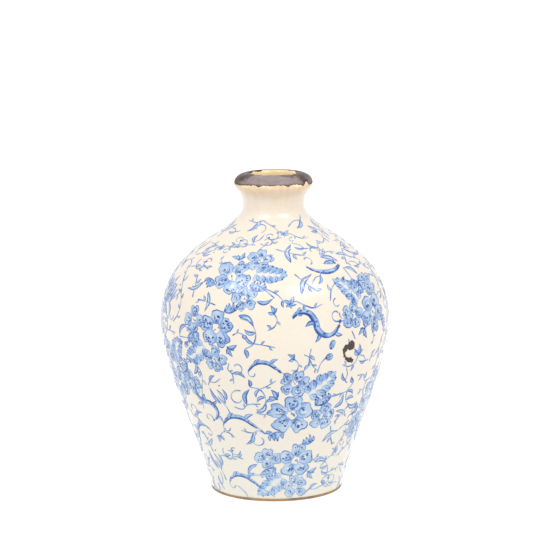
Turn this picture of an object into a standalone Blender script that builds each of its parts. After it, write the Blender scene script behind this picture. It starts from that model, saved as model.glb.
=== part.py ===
"""A small round-bellied pottery vase with a rolled lip, built as its fired layers.

The clay body is one hollow turned piece. Over it lie separate coats of glaze: cream outside,
dark brown over the lip, honey inside and cream under the base. A flaked spot in the cream
coat shows a patch of dark slip. Metres, +Z up, origin at the middle of the resting face.
"""

import math

import bpy
import numpy as np
from mathutils import Matrix, Vector

# Outer shape, given as the radius and height of the places that steer it.
HEIGHT = 0.200
BELLY_RADIUS = 0.0715
BELLY_HEIGHT = 0.108
NECK_RADIUS = 0.0192
NECK_HEIGHT = 0.180
FOOT_RADIUS = 0.0414
FOOT_CORNER = 0.0010
FOOT_LEAN = math.radians(11.5)

# Rolled lip: a half oval outside its crest, and a tighter one inside it.
LIP_CREST_RADIUS = 0.0155
LIP_OUTER_WIDTH = 0.0089
LIP_INNER_WIDTH = 0.0018
LIP_HALF_HEIGHT = 0.0060
LIP_JOIN = math.radians(-8)
LIP_CENTRE = (LIP_CREST_RADIUS, HEIGHT - LIP_HALF_HEIGHT)

# Handle lengths of the curves between those places: how full each stretch is.
FOOT_FULLNESS = 0.037
BELLY_FULLNESS_BELOW = 0.031
BELLY_FULLNESS_ABOVE = 0.049
NECK_FULLNESS_BELOW = 0.0178
NECK_FULLNESS_ABOVE = 0.0087
LIP_FULLNESS = 0.005

# Wall and layers. The gap stands for the bond between two fired layers.
WALL = 0.0055
FLOOR_HEIGHT = 0.0090
FLOOR_CORNER = 0.0080
GLAZE = 0.0005
GAP = 0.0003
COAT = GLAZE + GAP

# Foot ring and the recess inside it.
RING_INNER = 0.0345
RECESS_DEPTH = 0.0030
RECESS_SLOPE = 0.0015

# Where the coats stop: heights above the resting face.
CREAM_BOTTOM = FOOT_CORNER + GAP
LINER_TOP = HEIGHT - 0.0042
BASE_GLAZE_RADIUS = RING_INNER - RECESS_SLOPE - 0.0010
LIP_GLAZE_INSIDE = 2

# Flaked spot: a round head with a tail that curls down and back under it.
CHIP_AZIMUTH = math.radians(40)
CHIP_HEIGHT = 0.0960
CHIP_CURL_RADIUS = 0.0046
CHIP_HEAD_ANGLE = math.radians(85)
CHIP_TAIL_ANGLE = math.radians(285)
CHIP_HEAD_HALF_WIDTH = 0.0029
CHIP_TAIL_HALF_WIDTH = 0.0010
CHIP_HEAD_SHARE = 0.35
CHIP_REACH = 0.006
SLIP_REACH = 0.034

SEGMENTS = 48
MERGE = 1e-6

# Directions in the turned section, as (radius, height).
UP = np.array([0.0, 1.0])
OUT = np.array([1.0, 0.0])
LEAN = np.array([math.sin(FOOT_LEAN), math.cos(FOOT_LEAN)])


def clear_scene():
    for thing in list(bpy.data.objects):
        bpy.data.objects.remove(thing, do_unlink=True)


def make_material(name, colour, roughness, metallic=0.0):
    """One fired material: its colour, how rough it is and how metallic."""
    material = bpy.data.materials.new(name)
    material.use_nodes = True
    shader = material.node_tree.nodes["Principled BSDF"]
    shader.inputs["Base Color"].default_value = (*colour, 1.0)
    shader.inputs["Roughness"].default_value = roughness
    shader.inputs["Metallic"].default_value = metallic
    material.diffuse_color = (*colour, 1.0)
    return material


def bezier(start, leave, arrive, end, steps):
    """Points of a cubic curve after its start, ending on its end. Points are (radius, height)."""
    t = np.linspace(0, 1, steps + 1)[1:, None]
    start, leave, arrive, end = (np.array(p) for p in (start, leave, arrive, end))
    return (
        (1 - t) ** 3 * start
        + 3 * (1 - t) ** 2 * t * leave
        + 3 * (1 - t) * t**2 * arrive
        + t**3 * end
    )


def oval_arc(centre, half_width, half_height, first, last, steps):
    """Points on an oval from one angle to another, both ends included."""
    angle = np.linspace(first, last, steps + 1)
    return np.stack(
        [centre[0] + half_width * np.cos(angle), centre[1] + half_height * np.sin(angle)], 1
    )


def outer_wall():
    """The wall's outer face from the top of the foot corner to where the lip begins."""
    foot = np.array([FOOT_RADIUS, FOOT_CORNER])
    belly = np.array([BELLY_RADIUS, BELLY_HEIGHT])
    neck = np.array([NECK_RADIUS, NECK_HEIGHT])
    lip, before_lip = lip_outer()[0], lip_outer()[0] - lip_rise() * LIP_FULLNESS
    return np.vstack(
        [
            [foot],
            bezier(foot, foot + LEAN * FOOT_FULLNESS, belly - UP * BELLY_FULLNESS_BELOW, belly, 7),
            bezier(belly, belly + UP * BELLY_FULLNESS_ABOVE, neck - UP * NECK_FULLNESS_BELOW, neck, 10),
            bezier(neck, neck + UP * NECK_FULLNESS_ABOVE, before_lip, lip, 5),
        ]
    )


def lip_rise():
    """The way the lip's outer oval runs where it joins the wall, as a unit vector."""
    way = np.array([-LIP_OUTER_WIDTH * math.sin(LIP_JOIN), LIP_HALF_HEIGHT * math.cos(LIP_JOIN)])
    return way / np.linalg.norm(way)


def lip_outer():
    """The lip's outer half, from its join with the wall to the crest."""
    return oval_arc(LIP_CENTRE, LIP_OUTER_WIDTH, LIP_HALF_HEIGHT, LIP_JOIN, math.pi / 2, 7)


def lip_inner():
    """The lip's inner half, from just past the crest down to the throat."""
    return oval_arc(LIP_CENTRE, LIP_INNER_WIDTH, LIP_HALF_HEIGHT, math.pi / 2, math.pi, 4)[1:]


def interior():
    """The inside surface below the lip, from the throat down to the middle of the floor."""
    throat = np.array([LIP_CREST_RADIUS - LIP_INNER_WIDTH, NECK_HEIGHT])
    belly = np.array([BELLY_RADIUS - WALL, BELLY_HEIGHT])
    corner = np.array([FOOT_RADIUS - WALL + FLOOR_CORNER / 4, FLOOR_HEIGHT + FLOOR_CORNER])
    shoulder = bezier(
        throat, throat - UP * NECK_FULLNESS_BELOW, belly + UP * (BELLY_FULLNESS_ABOVE - WALL), belly, 8
    )
    lower = bezier(
        belly, belly - UP * BELLY_FULLNESS_BELOW, corner + LEAN * (FOOT_FULLNESS - WALL), corner, 6
    )
    floor_edge = corner - (UP + OUT) * FLOOR_CORNER
    turn = bezier(
        corner, corner - LEAN * FLOOR_CORNER / 2, floor_edge + OUT * FLOOR_CORNER / 2, floor_edge, 3
    )
    return np.vstack([[throat], shoulder, lower, turn])


def parallel(points, depth):
    """The same line moved by depth to the left of the way it runs."""
    ahead = np.gradient(points, axis=0)
    ahead /= np.linalg.norm(ahead, axis=1)[:, None]
    left = np.stack([-ahead[:, 1], ahead[:, 0]], 1)
    return points + left * depth


def turned(name, outline, material, closed=True):
    """One solid of revolution. The outline runs down its outer side, as (radius, height) points."""
    mesh = bpy.data.meshes.new(name)
    count = len(outline)
    edges = [(i, i + 1) for i in range(count - 1)]
    if closed:
        edges.append((count - 1, 0))
    mesh.from_pydata([(r, 0.0, z) for r, z in outline], edges, [])
    piece = bpy.data.objects.new(name, mesh)
    bpy.context.scene.collection.objects.link(piece)
    spin = piece.modifiers.new("turn", "SCREW")
    spin.axis = "Z"
    spin.steps = SEGMENTS
    spin.render_steps = SEGMENTS
    spin.use_merge_vertices = True
    spin.merge_threshold = MERGE
    spin.use_smooth_shade = True
    mesh.materials.append(material)
    return piece


def make_clay_body():
    """The hollow clay pot: wall, floor, neck, core of the rolled lip, and its bare foot ring."""
    wall = parallel(outer_wall(), COAT)
    lip = parallel(np.vstack([lip_outer(), lip_inner()]), COAT)
    inside = parallel(interior(), COAT)
    floor_middle = [(0.0, FLOOR_HEIGHT - COAT)]
    foot_corner = oval_arc(
        (FOOT_RADIUS - FOOT_CORNER, FOOT_CORNER), FOOT_CORNER, FOOT_CORNER, 0, -math.pi / 2, 3
    )
    step = [(wall[0][0], FOOT_CORNER)]
    underside = [
        (RING_INNER, 0.0),
        (RING_INNER - RECESS_SLOPE, RECESS_DEPTH),
        (0.0, RECESS_DEPTH),
    ]
    down_outside = np.vstack([lip[::-1], wall[::-1][1:]])
    outline = np.vstack(
        [floor_middle, inside[::-1], down_outside, step, foot_corner, underside]
    )
    colour = (0.62, 0.42, 0.23)
    return turned("clay_body", outline, make_material("bare_clay", colour, 0.75), closed=False)


def coat(name, surface, material):
    """A thin even coat whose outer face is the surface, which runs down its outer side."""
    under = parallel(surface, -GLAZE)
    return turned(name, np.vstack([surface, under[::-1]]), material)


def make_cream_glaze(material):
    """The cream coat from just above the foot to just under the lip, with the flaked spot open."""
    wall = outer_wall()
    wall[0] = (wall[0][0] + (CREAM_BOTTOM - FOOT_CORNER) * math.tan(FOOT_LEAN), CREAM_BOTTOM)
    glaze = coat("cream_glaze", wall[:-1][::-1], material)
    cutter = chip_prism("chip_cutter", 0.0)
    cutter.hide_render = True
    cutter.display_type = "WIRE"
    cut(glaze, cutter, "DIFFERENCE")
    return glaze


def make_lip_glaze():
    """The dark brown coat over the rolled lip."""
    surface = np.vstack([lip_outer(), lip_inner()[:LIP_GLAZE_INSIDE]])[::-1]
    colour = (0.075, 0.055, 0.052)
    return coat("lip_glaze", surface, make_material("brown_glaze", colour, 0.25))


def make_liner_glaze():
    """The honey coat poured inside: it covers the throat, the wall and the floor."""
    inside = interior()
    top = [(inside[0][0], LINER_TOP)]
    surface = np.vstack([top, inside])
    under = parallel(surface, GLAZE)
    floor_middle = [(0.0, FLOOR_HEIGHT)]
    under_middle = [(0.0, FLOOR_HEIGHT - GLAZE)]
    outline = np.vstack([floor_middle, surface[::-1], under, under_middle])
    colour = (0.70, 0.46, 0.22)
    return turned("liner_glaze", outline, make_material("honey_glaze", colour, 0.3), closed=False)


def make_base_glaze(material):
    """The cream coat in the recess inside the foot ring."""
    top = RECESS_DEPTH - GAP
    outline = [
        (0.0, top),
        (BASE_GLAZE_RADIUS, top),
        (BASE_GLAZE_RADIUS, top - GLAZE),
        (0.0, top - GLAZE),
    ]
    return turned("base_glaze", outline, material, closed=False)


def chip_outline(inset):
    """The flaked spot's outline on the wall: (sideways, up) from the middle of its curl."""
    angles = np.linspace(CHIP_HEAD_ANGLE, CHIP_TAIL_ANGLE, 13)
    along = np.linspace(0, 1, len(angles))
    head = np.clip(1 - along / CHIP_HEAD_SHARE, 0, 1)
    swell = (CHIP_HEAD_HALF_WIDTH - CHIP_TAIL_HALF_WIDTH) * np.sin(head * math.pi / 2)
    half = CHIP_TAIL_HALF_WIDTH + swell - inset
    way = np.stack([np.cos(angles), np.sin(angles)], 1)
    outer = way * (CHIP_CURL_RADIUS + half)[:, None]
    inner = way * (CHIP_CURL_RADIUS - half)[:, None]
    start, end = way[0] * CHIP_CURL_RADIUS, way[-1] * CHIP_CURL_RADIUS
    head_cap = cap(start, half[0], CHIP_HEAD_ANGLE - math.pi, CHIP_HEAD_ANGLE)
    tail_cap = cap(end, half[-1], CHIP_TAIL_ANGLE, CHIP_TAIL_ANGLE + math.pi)
    return np.vstack([outer, tail_cap, inner[::-1], head_cap])


def cap(centre, radius, first, last):
    """A round end: the points strictly between the two angles."""
    return oval_arc(centre, radius, radius, first, last, 6)[1:-1]


def chip_prism(name, inset):
    """A prism of the flaked spot's outline that passes through the wall's outer coats."""
    outline = chip_outline(inset)
    count = len(outline)
    near, far = BELLY_RADIUS - CHIP_REACH, BELLY_RADIUS + CHIP_REACH
    points = [(x, -near, y) for x, y in outline] + [(x, -far, y) for x, y in outline]
    sides = [(i, (i + 1) % count, count + (i + 1) % count, count + i) for i in range(count)]
    faces = [tuple(range(count))[::-1], tuple(range(count, 2 * count)), *sides]
    mesh = bpy.data.meshes.new(name)
    mesh.from_pydata(points, [], faces)
    prism = bpy.data.objects.new(name, mesh)
    bpy.context.scene.collection.objects.link(prism)
    prism.matrix_world = Matrix.Rotation(CHIP_AZIMUTH, 4, "Z") @ Matrix.Translation(
        Vector((0, 0, CHIP_HEIGHT))
    )
    return prism


def cut(piece, cutter, operation):
    """A Boolean of the piece with the cutter, left on the piece as a modifier."""
    change = piece.modifiers.new(cutter.name, "BOOLEAN")
    change.operation = operation
    change.solver = "EXACT"
    change.object = cutter


def make_chip_slip():
    """The dark slip that the flaked spot lays bare, a little below the cream coat's surface."""
    wall = outer_wall()
    near = wall[np.abs(wall[:, 1] - CHIP_HEIGHT) < SLIP_REACH][::-1]
    top = parallel(near, -(GLAZE - GAP))
    under = parallel(near, -GLAZE)
    colour = (0.06, 0.045, 0.035)
    slip = turned("chip_slip", np.vstack([top, under[::-1]]), make_material("dark_slip", colour, 0.6))
    stencil = chip_prism("slip_stencil", GAP)
    stencil.hide_render = True
    stencil.display_type = "WIRE"
    cut(slip, stencil, "INTERSECT")
    return slip


def build():
    clear_scene()
    cream = make_material("cream_glaze", (0.90, 0.84, 0.70), 0.15)
    make_clay_body()
    make_cream_glaze(cream)
    make_lip_glaze()
    make_liner_glaze()
    make_base_glaze(cream)
    make_chip_slip()


build()
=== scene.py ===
"""The looks of a small round-bellied pottery vase: fired clay, its glazes, and a blue floral print.

Every layer is turned about +Z from one smooth section that follows the frame's dimensions. A place on
the vase is an azimuth and a distance along that section. Azimuth 0 faces -Y and grows towards +X.
The print is drawn with two strokes, a ribbon and a blot, laid on the glaze as thin sheets.
"""

import math

import bpy
import numpy as np
from mathutils import Matrix, Vector
from mathutils.kdtree import KDTree


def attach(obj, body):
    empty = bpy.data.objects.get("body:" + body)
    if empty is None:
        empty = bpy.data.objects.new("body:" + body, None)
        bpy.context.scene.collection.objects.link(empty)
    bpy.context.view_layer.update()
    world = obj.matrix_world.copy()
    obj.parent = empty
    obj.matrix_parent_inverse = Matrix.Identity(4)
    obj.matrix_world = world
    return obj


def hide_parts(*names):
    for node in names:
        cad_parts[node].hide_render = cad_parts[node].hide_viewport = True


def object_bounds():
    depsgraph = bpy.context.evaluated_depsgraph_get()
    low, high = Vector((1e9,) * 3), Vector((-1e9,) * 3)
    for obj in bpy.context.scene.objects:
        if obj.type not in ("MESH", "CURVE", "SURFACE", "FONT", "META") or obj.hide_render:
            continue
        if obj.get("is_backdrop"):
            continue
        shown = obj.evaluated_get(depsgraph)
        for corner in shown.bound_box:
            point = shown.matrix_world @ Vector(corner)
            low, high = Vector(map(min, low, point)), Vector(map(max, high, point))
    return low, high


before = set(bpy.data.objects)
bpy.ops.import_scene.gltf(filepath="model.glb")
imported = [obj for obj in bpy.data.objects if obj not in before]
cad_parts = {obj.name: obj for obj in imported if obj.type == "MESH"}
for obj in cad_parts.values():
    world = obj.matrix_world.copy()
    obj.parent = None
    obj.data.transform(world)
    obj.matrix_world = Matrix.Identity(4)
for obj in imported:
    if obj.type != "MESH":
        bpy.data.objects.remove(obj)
CAD_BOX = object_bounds()

MM = 0.001
TURN = 2 * math.pi

# The frame's driving dimensions: places on its section, as (radius, height).
FOOT = (0.0414, 0.0010)
BELLY = (0.0715, 0.108)
NECK = (0.0192, 0.180)
FOOT_LEAN = math.radians(11.5)
LIP_CENTRE = (0.0155, 0.194)
LIP_OUTER_WIDTH = 0.0089
LIP_INNER_WIDTH = 0.0018
LIP_HALF_HEIGHT = 0.0060
LIP_JOIN = math.radians(-8)
THROAT = (0.0137, 0.180)
INNER_BELLY = (0.0660, 0.108)
FLOOR_CORNER = (0.0379, 0.017)
FLOOR_EDGE = (0.0299, 0.009)

# How full the curves between those places are.
FOOT_FULLNESS = 0.037
BELLY_FULLNESS_BELOW = 0.031
BELLY_FULLNESS_ABOVE = 0.049
NECK_FULLNESS_BELOW = 0.0178
NECK_FULLNESS_ABOVE = 0.0087
LIP_FULLNESS = 0.005
INNER_FULLNESS_ABOVE = 0.0435
INNER_FULLNESS_BELOW = 0.0315
FLOOR_FULLNESS = 0.004

# Foot ring.
RING_INNER = 0.0345
RECESS_DEPTH = 0.0030
RECESS_SLOPE = 0.0015
FOOT_CORNER = 0.0010
RECESS_ROUNDING = 0.0004
RECESS_CORNER = 0.0005
RING_CORNER = 0.0003

# Layers, as depths below the finished surface.
COAT = 0.00045
CLAY_UNDER_COAT = 0.00035
CLAY_AT_BAND = 0.00012
LINER = 0.0005
# How deep the clay lies at each height of the wall: flush at the foot, and nearly so at the band.
CLAY_DEPTHS = [
    (0.0010, 0.0), (0.0016, 0.0), (0.0024, CLAY_UNDER_COAT),
    (0.1885, CLAY_UNDER_COAT), (0.1905, CLAY_AT_BAND), (0.1955, CLAY_AT_BAND), (0.1975, CLAY_UNDER_COAT),
]

# The coat under the foot: its thickness, and how far it stays from the side of the recess.
BASE_COAT = 0.0006
BASE_CLEARANCE = 0.0009

# Where the coats end, as heights, and how far the lines at the band are tilted up at the front.
CREAM_FOOT_LINE = 0.00128
CREAM_TOP_LINE = 0.1921
BAND_LINE = 0.1927
BAND_TILT = 0.0016
# How far past the crest the band runs on, and how far before it the liner starts.
BAND_PAST_CREST = 0.0002
LINER_BEFORE_CREST = 0.0004

# How far the faces of the coats fall away at their edges, and over what widths.
CREAM_EDGE_DROP = 0.00022
CREAM_FOOT_EDGE = 0.0008
CREAM_TOP_EDGE = 0.0006
BAND_EDGE_DROP = 0.00030
BAND_EDGE = 0.0009
LINER_EDGE = 0.001
# How much thicker the band gets past the crest, over what distance, and how far in its edges are worn.
BAND_SWELL = 0.00014
BAND_SWELL_OVER = 0.0008
BAND_WEAR = 0.0011

# Where the clay's run over the lip ends, before the end of the outer line, and where its inside starts along
# the inner line. Both lie under the liner. The runs inside stop short of the axis.
OUTER_END_GAP = 0.006
INNER_START_GAP = 0.004
AXIS_GAP = 0.001

# Just under the top of the lip, where the section still rises.
CREST_HEIGHT = 0.19999

# How much of the vase the map for baked colours covers, as turns and as a height.
BAKE_ROUND = 1.02
BAKE_HEIGHT = 0.201

# The flaked spot, as in the frame.
CHIP_AZIMUTH = math.radians(40)
CHIP_HEIGHT = 0.0960

UP = np.array([0.0, 1.0])
LEAN = np.array([math.sin(FOOT_LEAN), math.cos(FOOT_LEAN)])


# ---------------------------------------------------------------- the section and its lines


def bezier(start, leave, arrive, end, steps=200):
    """A cubic curve as (radius, height) points, without its first point."""
    t = np.linspace(0, 1, steps + 1)[1:, None]
    start, leave, arrive, end = (np.array(p, float) for p in (start, leave, arrive, end))
    return (1 - t) ** 3 * start + 3 * (1 - t) ** 2 * t * leave + 3 * (1 - t) * t**2 * arrive + t**3 * end


def oval(centre, half_width, half_height, first, last, steps=120):
    """An arc of an oval, both ends included."""
    angle = np.linspace(first, last, steps + 1)
    return np.stack([centre[0] + half_width * np.cos(angle), centre[1] + half_height * np.sin(angle)], 1)


class Line:
    """A line in the section, read by the distance along it from its first point."""

    def __init__(self, points):
        self.points = np.array(points, float)
        steps = np.linalg.norm(np.diff(self.points, axis=0), axis=1)
        self.along = np.concatenate([[0], np.cumsum(steps)])
        self.length = self.along[-1]
        ahead = np.gradient(self.points, self.along, axis=0)
        ahead /= np.linalg.norm(ahead, axis=1)[:, None]
        self.normals = np.stack([ahead[:, 1], -ahead[:, 0]], 1)

    def read(self, table, s):
        return np.stack([np.interp(s, self.along, table[:, k]) for k in (0, 1)], -1)

    def at(self, s, lift=0.0):
        """Points at those distances, moved out of the surface by lift."""
        return self.read(self.points, s) + self.read(self.normals, s) * np.asarray(lift)[..., None]

    def facing(self, s):
        way = self.read(self.normals, s)
        return way / np.linalg.norm(way, axis=-1)[..., None]

    def distance_at(self, height):
        """The distance at which a rising line first reaches a height."""
        rising = np.maximum.accumulate(self.points[:, 1])
        return np.interp(height, rising, self.along)


def outer_line():
    """The finished outer surface, from the foot up the wall, over the lip and down into the mouth."""
    foot, belly, neck = (np.array(p) for p in (FOOT, BELLY, NECK))
    lip = oval(LIP_CENTRE, LIP_OUTER_WIDTH, LIP_HALF_HEIGHT, LIP_JOIN, math.pi / 2)
    inner = oval(LIP_CENTRE, LIP_INNER_WIDTH, LIP_HALF_HEIGHT, math.pi / 2, math.pi)
    rise = np.array([-LIP_OUTER_WIDTH * math.sin(LIP_JOIN), LIP_HALF_HEIGHT * math.cos(LIP_JOIN)])
    before_lip = lip[0] - rise / np.linalg.norm(rise) * LIP_FULLNESS
    return Line(np.vstack([
        [foot],
        bezier(foot, foot + LEAN * FOOT_FULLNESS, belly - UP * BELLY_FULLNESS_BELOW, belly),
        bezier(belly, belly + UP * BELLY_FULLNESS_ABOVE, neck - UP * NECK_FULLNESS_BELOW, neck),
        bezier(neck, neck + UP * NECK_FULLNESS_ABOVE, before_lip, lip[0]),
        lip[1:],
        inner[1:],
        [THROAT],
    ]))


def inner_line():
    """The inside surface from the lip down to the middle of the floor."""
    throat, belly, corner, edge = (np.array(p) for p in (THROAT, INNER_BELLY, FLOOR_CORNER, FLOOR_EDGE))
    level = np.array([1.0, 0.0])
    return Line(np.vstack([
        [(THROAT[0], LIP_CENTRE[1] + LIP_HALF_HEIGHT / 3)],
        [throat],
        bezier(throat, throat - UP * NECK_FULLNESS_BELOW, belly + UP * INNER_FULLNESS_ABOVE, belly),
        bezier(belly, belly - UP * BELLY_FULLNESS_BELOW, corner + LEAN * INNER_FULLNESS_BELOW, corner),
        bezier(corner, corner - LEAN * FLOOR_FULLNESS, edge + level * FLOOR_FULLNESS, edge),
        [(0.0, FLOOR_EDGE[1])],
    ]))


OUTER = outer_line()
INNER = inner_line()
CREST = OUTER.distance_at(CREST_HEIGHT)


# ---------------------------------------------------------------- turned meshes


def full_turn(count):
    """Even angles round a full turn."""
    return np.arange(count) * TURN / count


def around(points, azimuth):
    """Section points (radius, height) turned to an azimuth, as XYZ."""
    radius, height = points[..., 0], points[..., 1]
    return np.stack([radius * np.sin(azimuth), -radius * np.cos(azimuth), height], -1)


def wander(azimuth, seed, sizes):
    """A wavering that closes on itself round the vase: sizes gives {waves round the vase: height}."""
    draw = np.random.default_rng(seed)
    total = np.zeros_like(azimuth)
    for waves, size in sizes.items():
        total += size * np.sin(waves * azimuth + draw.uniform(0, TURN))
        total += size * 0.7 * np.sin((waves + 1 + waves // 3) * azimuth + draw.uniform(0, TURN))
    return total


def teeth(azimuth, places):
    """Bumps round an edge: places lists (azimuth in degrees, width in degrees, height)."""
    total = np.zeros_like(azimuth)
    for where, width, height in places:
        apart = (np.degrees(azimuth) - where + 180) % 360 - 180
        total += height * np.exp(-((apart / width) ** 2))
    return total


def mesh_object(name, points, faces, material, normals=None):
    """A smooth-shaded object that rides on the vase."""
    mesh = bpy.data.meshes.new(name)
    mesh.from_pydata(points.tolist(), [], faces)
    mesh.materials.append(material)
    mesh.shade_smooth()
    if normals is not None:
        mesh.normals_split_custom_set_from_vertices(normals.tolist())
    piece = bpy.data.objects.new(name, mesh)
    bpy.context.scene.collection.objects.link(piece)
    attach(piece, "root")
    return piece


def grid_faces(rows, columns, first=0, flip=False):
    """Quads of a grid that closes round the vase, rows going up the surface."""
    j, i = np.meshgrid(np.arange(rows - 1), np.arange(columns), indexing="ij")
    low, high, right = j * columns, (j + 1) * columns, (i + 1) % columns
    quads = np.stack([low + i, low + right, high + right, high + i], -1).reshape(-1, 4) + first
    return (quads[:, ::-1] if flip else quads).tolist()


def coat(name, material, low, high, rows, face_lift):
    """A closed coat on the outer surface between two edges, given as distances along it by azimuth.

    face_lift(share, s) moves the coat's face, where share runs from 0 at the low edge to 1 at the high one.
    """
    columns = len(low)
    azimuth = full_turn(columns)
    share = np.linspace(0, 1, rows)[:, None]
    s = low + (high - low) * share
    face = around(OUTER.at(s, face_lift(share, s)), azimuth)
    back = around(OUTER.at(s, np.full_like(s, -COAT)), azimuth)
    points = np.vstack([face.reshape(-1, 3), back.reshape(-1, 3)])
    count = rows * columns
    faces = grid_faces(rows, columns) + grid_faces(rows, columns, count, flip=True)
    for row, flip in ((0, False), (rows - 1, True)):
        for i in range(columns):
            a, b = row * columns + i, row * columns + (i + 1) % columns
            quad = [a, a + count, b + count, b]
            faces.append(quad[::-1] if flip else quad)
    return mesh_object(name, points, faces, material)


def turned_solid(name, material, section, columns):
    """A solid of revolution of a closed run of (radius, height) points that starts and ends on the axis."""
    rows = section[1:-1]
    rings = around(rows[:, None, :] * np.ones((1, columns, 1)), full_turn(columns))
    points = np.vstack([rings.reshape(-1, 3), [(0, 0, section[0][1]), (0, 0, section[-1][1])]])
    faces = grid_faces(len(rows), columns)
    first_middle, last_middle = len(points) - 2, len(points) - 1
    last_row = (len(rows) - 1) * columns
    for i in range(columns):
        right = (i + 1) % columns
        faces.append([first_middle, right, i])
        faces.append([last_middle, last_row + i, last_row + right])
    return mesh_object(name, points, faces, material)


def bake_map(piece):
    """A map for baked colours: across by azimuth, up by height, with its seam at the back."""
    mesh = piece.data
    points = np.empty(len(mesh.vertices) * 3)
    mesh.vertices.foreach_get("co", points)
    x, y, z = points.reshape(-1, 3).T
    corners = np.empty(len(mesh.loops), int)
    mesh.loops.foreach_get("vertex_index", corners)
    sides = np.empty(len(mesh.polygons), int)
    mesh.polygons.foreach_get("loop_total", sides)
    face = np.repeat(np.arange(len(sides)), sides)
    across = (np.arctan2(x, -y) / TURN + 0.5)[corners]
    furthest = np.zeros(len(sides))
    np.maximum.at(furthest, face, across)
    across += furthest[face] - across > 0.5
    places = np.stack([across / BAKE_ROUND, z[corners] / BAKE_HEIGHT], 1)
    mesh.uv_layers.new(name="OFBake").data.foreach_set("uv", places.ravel())


# ---------------------------------------------------------------- materials

CREAM = (0.72, 0.645, 0.545)
CREAM_WARM = (0.74, 0.63, 0.49)
CREAM_COOL = (0.70, 0.67, 0.59)
TAN = (0.66, 0.44, 0.22)
CRACKLE_LINE = (0.55, 0.43, 0.30)
BLUE_PALE = (0.38, 0.54, 0.71)
BLUE_WASH = (0.180, 0.330, 0.57)
BLUE_MID = (0.034, 0.125, 0.41)
BLUE_DARK = (0.006, 0.026, 0.17)
BROWN = (0.036, 0.020, 0.018)
BROWN_STREAK = (0.078, 0.050, 0.047)
# The grey of the lip's bloom, which also serves as a painted sheen on its front.
GREY_BLOOM_AND_SHEEN = (0.300, 0.245, 0.236)
BLOOM_SPECK = (0.42, 0.33, 0.28)
BROWN_WORN = (0.10, 0.050, 0.030)
CLAY_PALE = (0.88, 0.71, 0.50)
CLAY_OCHRE = (0.72, 0.53, 0.33)
CLAY_GRAIN = (0.50, 0.33, 0.19)
CLAY_TOASTED = (0.36, 0.215, 0.095)
CLAY_GREY = (0.16, 0.125, 0.095)
HONEY = (0.82, 0.66, 0.38)
HONEY_POOL = (0.74, 0.53, 0.26)
HONEY_CRACKLE = (0.55, 0.32, 0.13)
SLIP_DARK = (0.030, 0.022, 0.018)
SLIP_BROWN = (0.095, 0.062, 0.045)
SLIP_CRUMB = (0.30, 0.21, 0.14)


class Surface:
    """A material as it is built, with the place on the object in metres to hang its textures on."""

    def __init__(self, name, roughness, coat=0.0, coat_roughness=0.1):
        self.material = bpy.data.materials.new(name)
        self.material.use_nodes = True
        self.tree = self.material.node_tree
        self.shader = self.tree.nodes["Principled BSDF"]
        self.shader.inputs["Roughness"].default_value = roughness
        self.shader.inputs["Coat Weight"].default_value = coat
        self.shader.inputs["Coat Roughness"].default_value = coat_roughness
        self.place = self.node("TexCoord").outputs["Object"]

    def node(self, kind, inputs=None, **settings):
        """A shader node with its settings, and with its inputs set or linked by name or index."""
        made = self.tree.nodes.new("ShaderNode" + kind)
        for key, value in settings.items():
            setattr(made, key, value)
        for key, value in (inputs or {}).items():
            if isinstance(value, bpy.types.NodeSocket):
                self.tree.links.new(value, made.inputs[key])
            else:
                made.inputs[key].default_value = value
        return made

    def mix(self, factor, first, second):
        """The second colour laid over the first by a factor."""
        ready = [c if isinstance(c, bpy.types.NodeSocket) else (*c, 1.0) for c in (first, second)]
        return self.node("Mix", {0: factor, 6: ready[0], 7: ready[1]}, data_type="RGBA").outputs[2]

    def ramp(self, factor, *stops):
        """A value or colour read from a few stops: (position, grey or colour)."""
        made = self.node("ValToRGB", {0: factor})
        band = made.color_ramp
        while len(band.elements) < len(stops):
            band.elements.new(0.5)
        for element, (position, value) in zip(band.elements, stops):
            element.position = position
            element.color = (value, value, value, 1.0) if np.isscalar(value) else (*value, 1.0)
        return made.outputs[0]

    def number(self, operation, first, second=0.0, third=0.0):
        return self.node("Math", {0: first, 1: second, 2: third}, operation=operation).outputs[0]

    def share(self, value, start, end):
        """How far a value has come from start to end, from 0 to 1."""
        return self.node("MapRange", {0: value, 1: start, 2: end}).outputs[0]

    def axes(self):
        return self.node("SeparateXYZ", {0: self.place}).outputs

    def noise(self, scale, detail=3.0, rough=0.5, stretch=None):
        place = self.node("Mapping", {0: self.place, 3: stretch}).outputs[0] if stretch else self.place
        inputs = {"Vector": place, "Scale": scale, "Detail": detail, "Roughness": rough}
        return self.node("TexNoise", inputs).outputs[0]

    def attribute(self, name):
        return self.node("Attribute", attribute_name=name).outputs["Fac"]

    def crackle(self):
        """How close a point is to a crackle line of the glaze: 1 on it, 0 away from it."""
        warp = self.node("TexNoise", {"Vector": self.place, "Scale": 90.0}).outputs[1]
        bent = self.node("VectorMath", {0: warp, 3: 0.004}, operation="SCALE").outputs[0]
        moved = self.node("VectorMath", {0: self.place, 1: bent}, operation="ADD").outputs[0]
        cells = self.node("TexVoronoi", {"Vector": moved, "Scale": 190.0}, feature="DISTANCE_TO_EDGE")
        line = self.ramp(cells.outputs[0], (0.0, 1.0), (0.022, 0.25), (0.05, 0.0))
        patchy = self.ramp(self.noise(34.0), (0.38, 0.15), (0.62, 1.0))
        return self.number("MULTIPLY", line, patchy)

    def finish(self, base, rise, strength, distance, roughness=None):
        """The material, with its colour and its relief, and its roughness where that varies."""
        self.tree.links.new(base, self.shader.inputs["Base Color"])
        if roughness is not None:
            self.tree.links.new(roughness, self.shader.inputs["Roughness"])
        bump = self.node("Bump", {"Strength": strength, "Distance": distance, "Height": rise})
        self.tree.links.new(bump.outputs[0], self.shader.inputs["Normal"])
        return self.material


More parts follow.
